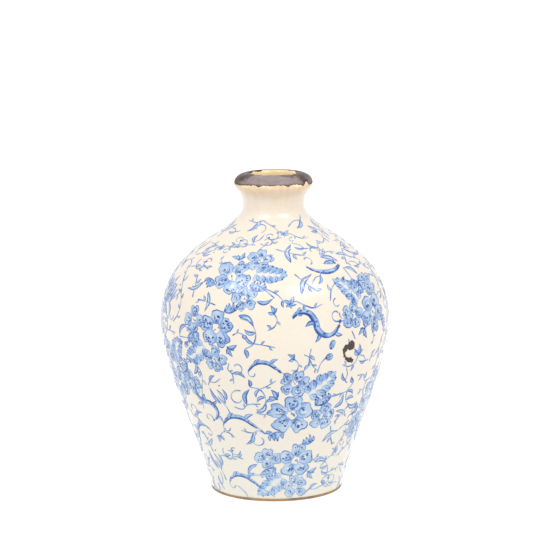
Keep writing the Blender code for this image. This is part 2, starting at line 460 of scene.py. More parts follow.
def cream_colour(glaze):
    """The cream glaze: cooler towards the foot, with warm patches, crackle, a few specks, a tan stain at the
    foot, and tan streaks that grow towards the lip.
    """
    height = glaze.axes()[2]
    # The tone turns cooler towards the foot.
    slow = glaze.share(glaze.number("MULTIPLY_ADD", glaze.noise(16.0), 0.06, height), 0.0, 0.2)
    base = glaze.mix(glaze.ramp(slow, (0.25, 1.0), (0.75, 0.0)), CREAM, CREAM_COOL)
    base = glaze.mix(glaze.ramp(glaze.noise(70.0, 4.0), (0.5, 0.0), (0.75, 0.35)), base, CREAM_WARM)
    base = glaze.mix(glaze.number("MULTIPLY", glaze.crackle(), 0.2), base, CRACKLE_LINE)
    # Tan streaks that grow towards the lip.
    streak = glaze.ramp(glaze.noise(260.0, 2.0, stretch=(1.0, 1.0, 0.18)), (0.3, 0.45), (0.7, 1.0))
    near_lip = glaze.share(height, 0.158, 0.1925)
    under_lip = glaze.ramp(near_lip, (0.0, 0.0), (0.5, 0.05), (0.85, 0.34), (1.0, 0.9))
    base = glaze.mix(glaze.number("MULTIPLY", under_lip, streak), base, TAN)
    patchy = glaze.ramp(glaze.noise(120.0), (0.35, 0.0), (0.7, 0.5))
    at_foot = glaze.number("MULTIPLY", glaze.share(height, 0.0030, 0.0012), patchy)
    base = glaze.mix(at_foot, base, TAN)
    specks = glaze.node("TexVoronoi", {"Vector": glaze.place, "Scale": 120.0}).outputs[0]
    return glaze.mix(glaze.ramp(specks, (0.03, 0.55), (0.06, 0.0)), base, TAN)


def printed(glaze, base):
    """The print's cobalt over the glaze: as much of it as the sheet's pigment says, a little uneven."""
    uneven = glaze.ramp(glaze.noise(300.0, 4.0, 0.65), (0.30, 0.70), (0.70, 1.24))
    strength = glaze.number("MULTIPLY", glaze.attribute("pigment"), uneven)
    cobalt = glaze.ramp(strength, (0.12, BLUE_PALE), (0.36, BLUE_WASH), (0.66, BLUE_MID), (0.98, BLUE_DARK))
    return glaze.mix(glaze.ramp(strength, (0.0, 0.0), (0.16, 0.72), (0.42, 1.0)), base, cobalt)


def glaze_material(name, with_print=False):
    """Cream glaze under a clear coat, gently uneven, with hairline crackle and pinholes."""
    glaze = Surface(name, 0.28, coat=0.9, coat_roughness=0.17)
    glaze.shader.inputs["Specular IOR Level"].default_value = 0.15
    base = cream_colour(glaze)
    if with_print:
        base = printed(glaze, base)
    dull = glaze.ramp(glaze.noise(140.0), (0.3, 0.22), (0.7, 0.36))
    rise = glaze.number("MULTIPLY_ADD", glaze.noise(900.0), 0.08, glaze.noise(55.0, 2.0))
    rise = glaze.number("MULTIPLY_ADD", glaze.crackle(), -0.12, rise)
    return glaze.finish(base, rise, 0.35, 0.0003, dull)


def bloom_and_painted_sheen(glaze, streaks):
    """How much grey lies on the lip: patches of dry grey bloom all round and a painted sheen that is
    strongest at the front left, both kept off the lower rim.
    """
    across, depth, level = glaze.axes()
    # Painted sheen: grey laid on the side of the lip that faces -Y, most towards the front left.
    skewed = glaze.number("MULTIPLY_ADD", across, 0.2, depth)
    drift = glaze.number("MULTIPLY_ADD", glaze.noise(48.0), 0.040, skewed)
    patches = glaze.ramp(glaze.noise(95.0), (0.54, 0.0), (0.68, 0.6))
    side = glaze.number("MAXIMUM", glaze.share(drift, 0.0068, 0.0015), patches)
    side = glaze.number("MULTIPLY", side, glaze.share(level, 0.1938, 0.1954))
    return glaze.number("MULTIPLY", side, glaze.ramp(streaks, (0.25, 0.60), (0.7, 1.0)))


def brown_glaze_material():
    """Iron glaze over the lip: dark brown, with patches of a dry grey bloom and a grey painted sheen on its
    front, and worn at its edges.
    """
    glaze = Surface("brown_glaze", 0.42, coat=0.08, coat_roughness=0.25)
    glaze.shader.inputs["Specular IOR Level"].default_value = 0.15
    streaks = glaze.noise(210.0, 5.0, 0.65, stretch=(1.0, 1.0, 2.2))
    base = glaze.mix(glaze.ramp(streaks, (0.36, 0.0), (0.66, 1.0)), BROWN, BROWN_STREAK)
    # Grey bloom and painted sheen laid over the brown.
    base = glaze.mix(bloom_and_painted_sheen(glaze, streaks), base, GREY_BLOOM_AND_SHEEN)
    specks = glaze.noise(620.0)
    base = glaze.mix(glaze.ramp(specks, (0.62, 0.0), (0.74, 0.5)), base, BLOOM_SPECK)
    patchy = glaze.ramp(glaze.noise(330.0), (0.35, 0.2), (0.65, 1.0))
    base = glaze.mix(glaze.number("MULTIPLY", glaze.attribute("edge"), patchy), base, BROWN_WORN)
    rise = glaze.number("MULTIPLY_ADD", specks, 0.25, streaks)
    return glaze.finish(base, rise, 0.5, 0.0003, glaze.ramp(streaks, (0.3, 0.36), (0.7, 0.55)))


def clay_material():
    """Bare fired clay: ochre and grainy, toasted brown and grey at the foot."""
    clay = Surface("bare_clay", 0.8)
    grain = clay.noise(1500.0, 4.0, 0.7)
    base = clay.mix(clay.ramp(clay.noise(130.0), (0.35, 0.0), (0.65, 1.0)), CLAY_PALE, CLAY_OCHRE)
    base = clay.mix(clay.ramp(grain, (0.45, 0.0), (0.75, 0.45)), base, CLAY_GRAIN)
    patches = clay.ramp(clay.noise(60.0, 4.0), (0.45, 0.0), (0.62, 1.0))
    at_foot = clay.share(clay.axes()[2], 0.0035, 0.0018)
    base = clay.mix(at_foot, base, clay.mix(patches, CLAY_TOASTED, CLAY_GREY))
    return clay.finish(base, grain, 0.6, 0.0002)


def honey_material():
    """The amber liner glaze: glossy, clouded and crackled."""
    glaze = Surface("honey_glaze", 0.2, coat=0.5, coat_roughness=0.08)
    cloud = glaze.noise(60.0, 4.0)
    base = glaze.mix(glaze.ramp(cloud, (0.35, 0.0), (0.7, 1.0)), HONEY, HONEY_POOL)
    base = glaze.mix(glaze.number("MULTIPLY", glaze.crackle(), 0.4), base, HONEY_CRACKLE)
    return glaze.finish(base, cloud, 0.3, 0.0003)


def slip_material():
    """Dark mottled slip in the flaked spot, rough and crumbly."""
    slip = Surface("dark_slip", 0.7)
    grain = slip.noise(800.0, 4.0, 0.65)
    base = slip.mix(slip.ramp(grain, (0.40, 0.0), (0.62, 1.0)), SLIP_DARK, SLIP_BROWN)
    base = slip.mix(slip.ramp(grain, (0.66, 0.0), (0.74, 0.8)), base, SLIP_CRUMB)
    return slip.finish(base, grain, 0.8, 0.0004)


CLAY = clay_material()
GLAZE = glaze_material("cream_glaze")
PRINT = glaze_material("cobalt_print", with_print=True)
SLIP = slip_material()


# ---------------------------------------------------------------- the pot and its coats


def bead(distance, width):
    """0 at an edge, rising smoothly to 1 at a width from it."""
    t = np.clip(distance / width, 0, 1)
    return np.sqrt(1 - (1 - t) ** 2)


def edges_worn(share, length, low, high):
    """0 over most of a coat, falling to -1 at its two edges over these widths."""
    return np.minimum(bead(share * length, low), bead((1 - share) * length, high)) - 1


def edge_line(columns, height, seed, sizes, places=()):
    """Distances along the outer surface of an edge that wanders about a height, one for each azimuth."""
    azimuth = full_turn(columns)
    return OUTER.distance_at(height) + wander(azimuth, seed, sizes) + teeth(azimuth, places)


def tilted(columns, height):
    """Heights round an edge that rises to the front."""
    return BAND_TILT * np.cos(full_turn(columns)) + height


def make_clay():
    """The bare pot: full size at the foot, under the coats elsewhere, and nearly flush below the lip."""
    wall = np.linspace(0, CREST, 260)
    wall_depth = np.interp(OUTER.at(wall)[:, 1], *zip(*CLAY_DEPTHS))
    over = np.linspace(CREST, OUTER.length - OUTER_END_GAP, 24)[1:]
    inside = np.linspace(INNER_START_GAP, INNER.length - AXIS_GAP, 140)
    recess = RING_INNER - RECESS_SLOPE
    section = np.vstack([
        [(0, RECESS_DEPTH), (recess - RECESS_CORNER, RECESS_DEPTH)],
        [(recess, RECESS_DEPTH - RECESS_ROUNDING)],
        [(RING_INNER - RING_CORNER, RING_CORNER), (RING_INNER + RECESS_ROUNDING, 0)],
        oval((FOOT[0] - FOOT_CORNER, FOOT_CORNER), FOOT_CORNER, FOOT_CORNER, -math.pi / 2, 0, 8)[:-1],
        OUTER.at(wall, -wall_depth),
        OUTER.at(over, np.full(len(over), -CLAY_UNDER_COAT)),
        INNER.at(inside, np.full(len(inside), -CLAY_UNDER_COAT)),
        [(0, FLOOR_EDGE[1] - CLAY_UNDER_COAT)],
    ])
    piece = turned_solid("clay_pot", CLAY, section, 288)
    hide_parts("clay_body")


def make_cream():
    """The cream coat: wiped at the foot, ragged under the lip, and open at the flaked spot."""
    columns = 360
    low = edge_line(columns, CREAM_FOOT_LINE, 3, {3: 0.00004, 11: 0.00004, 37: 0.00003, 90: 0.00002})
    ragged = {4: 0.00015, 17: 0.00018, 41: 0.00016, 83: 0.00010}
    high = edge_line(columns, tilted(columns, CREAM_TOP_LINE), 4, ragged)
    length = (high - low).mean()

    def lift(share, s):
        return CREAM_EDGE_DROP * edges_worn(share, length, CREAM_FOOT_EDGE, CREAM_TOP_EDGE)

    piece = coat("cream_coat", GLAZE, low, high, 170, lift)
    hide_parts("cream_glaze")
    open_flake(piece)


# Chips and teeth of the band's lower edge, and tongues of glaze over its crest, as teeth() takes them.
BAND_TEETH = [
    (-23, 3, -0.0010), (22, 3, -0.0009), (35, 3, 0.0007), (48, 3, -0.0009),
    (57, 3.5, 0.0021), (67, 3, -0.0009), (5, 2, 0.0005), (110, 5, -0.0009),
    (150, 3, 0.0014), (-95, 4, -0.0007), (-130, 6, 0.0012), (178, 3, -0.0009),
]
CREST_TEETH = [(140, 12, 0.0012), (-146, 14, 0.0016), (88, 26, 0.0017), (-92, 30, 0.0022)]


def make_lip():
    """The brown coat over the lip: ragged below, worn thin at both of its edges."""
    columns = 720
    rows = 44
    sizes = {5: 0.00010, 19: 0.00012, 47: 0.00012, 101: 0.00010, 173: 0.00005}
    low = edge_line(columns, tilted(columns, BAND_LINE), 7, sizes, BAND_TEETH)
    azimuth = full_turn(columns)
    high = CREST + BAND_PAST_CREST + wander(azimuth, 8, {3: 0.00030, 13: 0.00022, 43: 0.00014, 97: 0.00008})
    high += teeth(azimuth, CREST_TEETH)
    length = (high - low).mean()

    def lift(share, s):
        swell = BAND_SWELL * np.clip((s - CREST) / BAND_SWELL_OVER, 0, 1)
        return BAND_EDGE_DROP * edges_worn(share, length, BAND_EDGE, BAND_EDGE) + swell

    piece = coat("lip_coat", brown_glaze_material(), low, high, rows, lift)
    share = np.linspace(0, 1, rows)[:, None] * np.ones((1, columns))
    near = 1 - np.clip(np.minimum(share, 1 - share) * length / BAND_WEAR, 0, 1)
    edge = piece.data.attributes.new("edge", "FLOAT", "POINT")
    edge.data.foreach_set("value", np.concatenate([near.ravel(), near.ravel()]))
    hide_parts("lip_glaze")


def make_liner():
    """The honey coat inside, one closed skin from the lip's crest down over the floor."""
    over = OUTER.at(np.linspace(CREST - LINER_BEFORE_CREST, OUTER.length, 40))
    line = Line(np.vstack([over, INNER.points[2:]]))
    s = np.linspace(0, line.length - AXIS_GAP, 190)
    section = np.vstack([
        [(0, FLOOR_EDGE[1] - LINER)],
        line.at(s[::-1], np.full(len(s), -LINER)),
        line.at(s, LINER * bead(s, LINER_EDGE) - LINER),
        [(0, FLOOR_EDGE[1])],
    ])
    piece = turned_solid("liner_coat", honey_material(), section, 192)
    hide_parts("liner_glaze")


def make_base():
    """The cream coat in the recess under the foot, with a rounded edge."""
    top = RECESS_DEPTH
    radius = RING_INNER - RECESS_SLOPE - BASE_CLEARANCE
    edge = oval((radius - BASE_COAT, top), BASE_COAT, BASE_COAT, -math.pi / 2, 0, 8)
    under = [(0, top - BASE_COAT), (radius / 2, top - BASE_COAT)]
    piece = turned_solid("base_coat", GLAZE, np.vstack([under, edge, [(radius / 2, top), (0, top)]]), 192)
    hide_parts("base_glaze")


# ---------------------------------------------------------------- strokes and slabs

# The points on each span of a curve before it is resampled, and the least half width of a stroke.
SPAN_POINTS = 12
LEAST_HALF_WIDTH = 0.02


def smooth(points, step):
    """A smooth curve through given points, resampled at an even step."""
    points = np.array(points, float)
    if len(points) > 2:
        ends = (2 * points[0] - points[1], 2 * points[-1] - points[-2])
        padded = np.vstack([ends[0], points, ends[1]])
        t = np.linspace(0, 1, SPAN_POINTS, endpoint=False)[:, None]
        pieces = [
            0.5 * (2 * b + (c - a) * t + (2 * a - 5 * b + 4 * c - d) * t**2 + (3 * b - a - 3 * c + d) * t**3)
            for a, b, c, d in zip(padded, padded[1:], padded[2:], padded[3:])
        ]
        points = np.vstack([*pieces, points[-1:]])
    along = np.concatenate([[0], np.cumsum(np.linalg.norm(np.diff(points, axis=0), axis=1))])
    even = np.linspace(0, along[-1], max(4, int(along[-1] / step) + 2))
    return np.stack([np.interp(even, along, points[:, k]) for k in (0, 1)], 1)


def strip(points, half_width, columns, step):
    """A stroke along a curve: its grid of points and its quads. half_width(t) gives half its width."""
    path = smooth(points, step)
    t = np.linspace(0, 1, len(path))
    ahead = np.gradient(path, axis=0)
    ahead /= np.maximum(np.linalg.norm(ahead, axis=1), 1e-9)[:, None]
    left = np.stack([-ahead[:, 1], ahead[:, 0]], 1)
    across = np.linspace(1, -1, columns)
    half = np.maximum(half_width(t), LEAST_HALF_WIDTH)
    grid = path[:, None] + left[:, None] * (across * half[:, None])[..., None]
    faces = [
        [j * columns + i, j * columns + i + 1, (j + 1) * columns + i + 1, (j + 1) * columns + i]
        for j in range(len(path) - 1)
        for i in range(columns - 1)
    ]
    return grid, faces


def slab_faces(faces, count):
    """Faces of a closed slab whose front has these faces, with the back's points numbered count later."""
    edges = {(a, b) for face in faces for a, b in zip(face, face[1:] + face[:1])}
    rim = [[b, a, a + count, b + count] for a, b in sorted(edges) if (b, a) not in edges]
    return faces + [[i + count for i in face[::-1]] for face in faces] + rim


# ---------------------------------------------------------------- the flaked spot

# Its middle line from the blot at the top round to the tail, and half its width along it, in millimetres.
FLAKE_LINE = [
    (3.0, 5.6), (0.8, 4.7), (-1.6, 4.1), (-3.9, 3.4), (-4.9, 0.6),
    (-4.0, -2.1), (-1.5, -4.2), (1.2, -5.0), (3.2, -6.4),
]
FLAKE_WIDTHS = [
    (0.0, 2.3), (0.08, 3.2), (0.20, 3.0), (0.28, 1.5), (0.37, 1.9),
    (0.48, 0.85), (0.66, 0.95), (0.84, 1.5), (1.0, 1.2),
]
FLAKE_STEP = 0.25
# Places further round than this from its middle are never in it.
FLAKE_SPAN = math.radians(8)
# How far its bottom lies below the glaze's surface.
FLAKE_RECESS = 0.00020
# How far the slip runs on under the glaze round it, in millimetres, and how far the cutter reaches each way.
FLAKE_UNDERLAP = 0.35
CUTTER_REACH = 0.0012
CUTTER_VOXEL = 0.00013


def flake_half_width(t):
    """Half the flaked spot's width in millimetres at a share of its line: ragged, with round ends."""
    plain = np.interp(t, *zip(*FLAKE_WIDTHS))
    ragged = 0.34 * np.sin(31 * t + 1) * np.sin(17 * t) + 0.20 * np.sin(67 * t)
    return (plain + ragged) * np.sqrt(np.clip(t / 0.06, 0.02, 1) * np.clip((1 - t) / 0.04, 0.02, 1))


def flake(name, grow, low, high):
    """The flaked spot's ragged shape as a solid, between two lifts from the glaze's surface."""
    grid, faces = strip(FLAKE_LINE, lambda t: flake_half_width(t) + grow, 9, FLAKE_STEP)
    s = OUTER.distance_at(CHIP_HEIGHT) + grid[..., 1] * MM
    azimuth = CHIP_AZIMUTH + grid[..., 0] * MM / OUTER.at(s)[..., 0]
    crumbs = 0.00006 * np.sin(5.3 * grid[..., 0] + 2) * np.sin(4.1 * grid[..., 1])
    front = around(OUTER.at(s, high + crumbs), azimuth).reshape(-1, 3)
    back = around(OUTER.at(s, np.full_like(s, low)), azimuth).reshape(-1, 3)
    return mesh_object(name, np.vstack([front, back]), slab_faces(faces, len(front)), SLIP)


def in_flake(azimuth, s):
    """Which places on the wall lie in the flaked spot."""
    if np.abs(azimuth - CHIP_AZIMUTH).min() > FLAKE_SPAN:
        return np.zeros(len(s), bool)
    path = smooth(FLAKE_LINE, FLAKE_STEP)
    half = flake_half_width(np.linspace(0, 1, len(path)))
    across = (azimuth - CHIP_AZIMUTH) * OUTER.at(s)[..., 0] / MM
    up = (s - OUTER.distance_at(CHIP_HEIGHT)) / MM
    apart = np.hypot(across[:, None] - path[:, 0], up[:, None] - path[:, 1])
    return (apart < half).any(axis=1)


def applied(piece, kind, **settings):
    """The piece's mesh with one modifier applied."""
    change = piece.modifiers.new(kind.lower(), kind)
    for key, value in settings.items():
        setattr(change, key, value)
    ready = piece.evaluated_get(bpy.context.evaluated_depsgraph_get())
    mesh = bpy.data.meshes.new_from_object(ready)
    piece.modifiers.clear()
    return mesh


def open_flake(coat_piece):
    """Cuts the flaked spot out of the cream coat."""
    cutter = flake("flake_cutter", 0.0, -CUTTER_REACH, CUTTER_REACH)
    cutter.data = applied(cutter, "REMESH", mode="VOXEL", voxel_size=CUTTER_VOXEL)
    coat_piece.data = applied(coat_piece, "BOOLEAN", operation="DIFFERENCE", solver="EXACT", object=cutter)
    bpy.data.objects.remove(cutter)
    bake_map(coat_piece)


def make_slip():
    """The dark slip at the bottom of the flaked spot."""
    piece = flake("slip_patch", FLAKE_UNDERLAP, -COAT, -FLAKE_RECESS)
    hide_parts("chip_slip")


# ---------------------------------------------------------------- drawing on the wall

# Where the print ends below and above, and the least share of a shape that has to lie between.
PRINT_LOW = OUTER.distance_at(0.0021)
PRINT_HIGH = OUTER.distance_at(0.1900)
LEAST_SHOWN = 0.3
# How far apart the points along a stroke are, in millimetres.
STEP = 0.7
# How far the sheets reach into the glaze.
BACK_DEPTH = 0.00003
# Heights, and how strong the print is at each: it is paler near the foot, and paler on the shoulder, partly
# as a painted highlight.
PRINT_FADE_AND_HIGHLIGHT = ((0.010, 0.030, 0.075, 0.120, 0.160), (0.70, 0.80, 0.96, 1.0, 0.80))
# Shapes of one sheet that follow each other lie on layers of their own, so that no two faces coincide.
LAYERS = 5
LAYER_STEP = 0.000004


def radius_at(s):
    """The wall's radius at a distance along it."""
    return OUTER.at(s)[..., 0]


class Spot:
    """A place on the wall to draw at, in millimetres: to the right, then up along the wall.

    It is given by its azimuth in degrees and its height in millimetres. A drawing may be turned
    anticlockwise, enlarged, or flipped left to right.
    """

    def __init__(self, azimuth, height, turn=0.0, size=1.0, flip=False):
        self.azimuth = math.radians(azimuth)
        self.s = float(OUTER.distance_at(height * MM))
        angle = math.radians(turn)
        self.right = np.array([math.cos(angle), math.sin(angle)]) * size * (-1 if flip else 1)
        self.up = np.array([-math.sin(angle), math.cos(angle)]) * size

    def place(self, points):
        """Drawn points as (azimuth in radians, distance along the wall in metres)."""
        moved = points[..., :1] * self.right + points[..., 1:] * self.up
        s = self.s + moved[..., 1] * MM
        radius = radius_at(np.clip(s, PRINT_LOW, PRINT_HIGH))
        return np.stack([self.azimuth + moved[..., 0] * MM / radius, s], -1)

    def inside(self, centre, scale):
        """A spot at a drawn point, with the same turn and at another scale."""
        made = Spot(0, 0)
        made.azimuth, made.s = (float(x) for x in self.place(np.array(centre, float)))
        made.right, made.up = self.right * scale, self.up * scale
        return made

    @property
    def mirrored(self):
        """Whether drawings here come out flipped."""
        return self.right[0] * self.up[1] - self.right[1] * self.up[0] < 0


class Sheet:
    """Thin shapes of the print at one height over the glaze, gathered into one mesh."""

    def __init__(self, name, lift):
        self.name, self.lift = name, lift
        self.places, self.lifts, self.tones, self.faces = [], [], [], []
        self.count = 0

    def add(self, spot, points, tones, faces):
        """One shape: its drawn points, the pigment at each, and its faces. The flaked spot stays bare."""
        places = spot.place(points.reshape(-1, 2))
        inside = (places[:, 1] > PRINT_LOW) & (places[:, 1] < PRINT_HIGH)
        if inside.mean() < LEAST_SHOWN:
            return
        places[:, 1] = np.clip(places[:, 1], PRINT_LOW, PRINT_HIGH)
        bare = in_flake(*places.T)
        layer = len(self.places) % LAYERS
        self.places.append(places)
        self.lifts.append(np.full(len(places), self.lift + layer * LAYER_STEP))
        self.tones.append(np.broadcast_to(tones, len(places)))
        for face in faces:
            if not bare[face].any():
                placed = [i + self.count for i in face]
                self.faces.append(placed[::-1] if spot.mirrored else placed)
        self.count += len(places)

    def finish(self, material):
        """The mesh: every shape with its face over the glaze and its back just inside it."""
        azimuth, s = np.vstack(self.places).T
        # The print pales near the foot, and on the shoulder partly as a painted highlight.
        tones = np.concatenate(self.tones) * np.interp(OUTER.at(s)[:, 1], *PRINT_FADE_AND_HIGHLIGHT)
        top = around(OUTER.at(s, np.concatenate(self.lifts)), azimuth)
        back = around(OUTER.at(s, np.full(len(s), -BACK_DEPTH)), azimuth)
        normal = around(OUTER.facing(s), azimuth)
        faces = slab_faces(self.faces, self.count)
        piece = mesh_object(self.name, np.vstack([top, back]), faces, material, np.vstack([normal] * 2))
        pigment = piece.data.attributes.new("pigment", "FLOAT", "POINT")
        pigment.data.foreach_set("value", np.concatenate([tones, tones]))
        bake_map(piece)


# The washes, the pale marks over them, and over those the lines and dots, each a little higher.
WASH = Sheet("print_wash", 0.00003)
SHADE = Sheet("print_shade", 0.00006)
LINE = Sheet("print_line", 0.00009)


def ribbon(sheet, spot, points, half_width, tones, pool=0.22, step=STEP):
    """A stroke along a curve. tones lists its pigment across it. pool says how uneven it is along it."""
    grid, faces = strip(points, half_width, len(tones), step)
    t = np.linspace(0, 1, len(grid))
    shift = 1.7 * grid[0, 0, 0] + 2.9 * grid[0, 0, 1]
    along = 1 + pool * np.sin(0.5 * t * len(grid) * step + shift)
    sheet.add(spot, grid, np.outer(along, tones).ravel(), faces)


def blot(sheet, spot, centre, reach, rings, points=20, turn=0.0, shade=0.0):
    """A filled shape round a centre. reach(angle) gives its outline, and rings its (share, pigment).

    shade makes one side of it darker than the other.
    """
    angle = full_turn(points)
    shares = np.array([share for share, _ in rings[1:]])
    way = np.stack([np.cos(angle + turn), np.sin(angle + turn)], 1)
    grid = np.array(centre) + way * (shares[:, None] * reach(angle))[..., None]
    spread = np.vstack([[centre], grid.reshape(-1, 2)])
    outer_tones = np.outer([tone for _, tone in rings[1:]], 1 + shade * np.cos(angle - 2.4 + turn))
    tones = np.concatenate([[rings[0][1]], outer_tones.ravel()])
    faces = [[0, 1 + i, 1 + (i + 1) % points] for i in range(points)]
    for j in range(len(shares) - 1):
        a, b = 1 + j * points, 1 + (j + 1) * points
        faces += [[a + i, b + i, b + (i + 1) % points, a + (i + 1) % points] for i in range(points)]
    sheet.add(spot, spread, tones, faces)


def lens(width, sharp=1.0, middle=0.5):
    """A half width that is widest at the middle and runs out to both ends."""
    power = math.log(0.5) / math.log(middle)
    return lambda t: width * np.sin(math.pi * t**power) ** sharp


def round_ends(t, share=0.05):
    """1 along a stroke, falling off over a share of it at both ends."""
    return np.sqrt(np.clip(t / share, 0.1, 1) * np.clip((1 - t) / share, 0.1, 1))


def taper(width, tip=0.25):
    """A half width that starts full, with a round end, and thins towards its tip."""
    return lambda t: width * (1 - (1 - tip) * t) * round_ends(t)


def uneven(width):
    """A half width that swells and thins a little along a stroke."""
    return lambda t: width * (0.9 + 0.3 * np.sin(9 * t + 1)) * round_ends(t)


# ---------------------------------------------------------------- motifs of the print

# Pigment from the middle of a blot out to its edge, as (share of the reach, pigment).
PETAL_RINGS = [(0.0, 0.27), (0.60, 0.27), (0.84, 0.31), (0.92, 0.48), (1.0, 0.62)]
PALE_RINGS = [(0, 0.06), (0.7, 0.10), (1, 0.22)]
DOT_RINGS = [(0.0, 1.0), (0.6, 0.96), (1.0, 0.78)]
# How wide a blossom is in the petals' own measure, and how wide the petals of one with five are.
PLAIN_BLOSSOM = 20.5
PETAL_SPREAD = 3.85
# Pigment across the rib of a toothed leaf, a tooth of it and the finger at its tip, a finger of a comb leaf,
# a scroll, and the pale slits.
RIB_TONES = (0.36, 0.26, 0.08, 0.02, 0.20, 0.34)
TOOTH_TONES = (0.46, 0.32, 0.28, 0.36, 0.78)
TIP_TONES = (0.62, 0.34, 0.34, 0.64)
COMB_TONES = (0.58, 0.36, 0.32, 0.66)
SCROLL_TONES = (0.60, 0.38, 0.30, 0.54, 0.86, 1.0)
SLIT_TONES = (0.08, 0.08)


def towards(angle, length=1.0):
    """A step of a length in a direction."""
    return length * np.array([math.cos(angle), math.sin(angle)])


def ahead_and_left(start, end):
    """Both ends of a line as arrays, the way along it, its length, and the unit to its left."""
    start, end = np.array(start, float), np.array(end, float)
    way = end - start
    length = float(np.linalg.norm(way))
    return start, end, way, length, np.array([-way[1], way[0]]) / length


def dot(spot, centre, size, tone=1.0, stretch=1.0, turn=0.0):
    """A small dark blot, round or drawn out along its turn."""
    rings = [(share, value * tone) for share, value in DOT_RINGS]
    blot(LINE, spot, centre, lambda a: size * (1 + (stretch - 1) * np.cos(a) ** 2), rings, 8, turn)


def petal(spot, angle, draw, heart, spread):
    """One lobed petal that widens away from the heart, with two kinds of marks on it."""
    way, side = towards(angle), towards(angle + math.pi / 2)
    long = draw.uniform(3.9, 4.9)
    wide = spread * draw.uniform(0.95, 1.18)
    notch, lean = draw.uniform(0.0, 1.7), draw.uniform(-0.5, 0.5)
    square = draw.uniform(2.4, 4.2)
    wave = draw.uniform(0, TURN, 3)
    centre = way * (heart + long)

    def reach(a):
        plain = (np.abs(np.cos(a) / long) ** square + np.abs(np.sin(a) / wide) ** square) ** (-1 / square)
        dent = notch * np.exp(-(((a - lean + math.pi) % TURN - math.pi) / 0.24) ** 2)
        scallops = 0.05 * np.sin(4 * a + wave[0]) + 0.04 * np.sin(7 * a + wave[1])
        scallops += 0.03 * np.sin(11 * a + wave[2])
        return plain * (1 + 0.12 * np.cos(a) + scallops) - dent

    blot(WASH, spot, centre, reach, PETAL_RINGS, 36, angle, 0.22)
    kinds = draw.permutation(4)[:2]
    if 0 in kinds:
        petal_fan(spot, centre, way, side, long, wide, draw)
    if 1 in kinds:
        petal_loop(spot, centre, draw)
    if 2 in kinds:
        pale = centre + side * draw.uniform(-1, 1) - way * 0.4
        blot(SHADE, spot, pale, lambda a: 1.1 + 0.4 * np.cos(a), PALE_RINGS, 12, angle)
    if 3 in kinds:
        for offset in np.linspace(-0.9, 0.9, 5) + draw.uniform(-0.3, 0.3):
            place = centre + towards(angle + offset, 0.66 * long)
            dot(spot, place, draw.uniform(0.26, 0.46), 1.0, 1.8, angle + offset)
    for _ in range(draw.integers(2, 5)):
        offset = way * draw.uniform(-0.6, 0.5) * long + side * draw.uniform(-0.55, 0.55) * wide
        size, stretch, turn = draw.uniform(0.34, 0.68), draw.uniform(1.0, 2.0), draw.uniform(0, TURN)
        dot(spot, centre + offset, size, 1.0, stretch, turn)
    turns = np.linspace(-1.1, 0.8, 9) + draw.uniform(-1.2, 1.2)
    arc = [centre + towards(angle + a, 0.94 * float(reach(np.array(a)))) for a in turns]
    ribbon(LINE, spot, arc, lens(0.30), (0.80, 0.66), 0.3, 0.5)


def petal_fan(spot, centre, way, side, long, wide, draw):
    """Dark veins that spread from the foot of a petal."""
    for offset in (-0.8, -0.25, 0.3, 0.85):
        start = centre + side * offset * 0.8 - way * long * 0.72
        end = centre + side * offset * wide * 0.62 + way * draw.uniform(-0.2, 1.6)
        ribbon(LINE, spot, [start, (start + end) / 2 + side * 0.15, end], taper(0.24, 0.4), (0.86, 0.78))
    ribbon(SHADE, spot, [centre - way * 2.2, centre + way * 0.9 + side * 0.2], lens(0.34), SLIT_TONES)


def petal_loop(spot, centre, draw):
    """A loop of line in the middle of a petal, round a dark dot."""
    turn = draw.uniform(0, TURN)
    arc = [centre + towards(turn + k, 1.7 + 0.2 * k) for k in np.linspace(0, 4.2, 8)]
    ribbon(LINE, spot, arc, uneven(0.24), (0.66, 0.62))
    dot(spot, centre + towards(turn, 0.3), 0.52, 1.0, 1.5, turn)


def blossom(spot, centre, across, seed, petals=5):
    """A blossom of petals that nearly touch, round a cream heart with a few dots."""
    draw = np.random.default_rng(seed)
    here = spot.inside(centre, across / PLAIN_BLOSSOM)
    first = draw.uniform(0, TURN)
    spread = PETAL_SPREAD * 5 / petals
    for k in range(petals):
        angle = first + TURN * (k + draw.uniform(-0.08, 0.08)) / petals
        petal(here, angle, draw, draw.uniform(1.3, 2.1), spread)
    for _ in range(draw.integers(3, 6)):
        away, where = draw.uniform(0.3, 1.7), draw.uniform(0, TURN)
        dot(here, towards(where, away), draw.uniform(0.30, 0.50), draw.uniform(0.45, 0.8), 1.5, where)


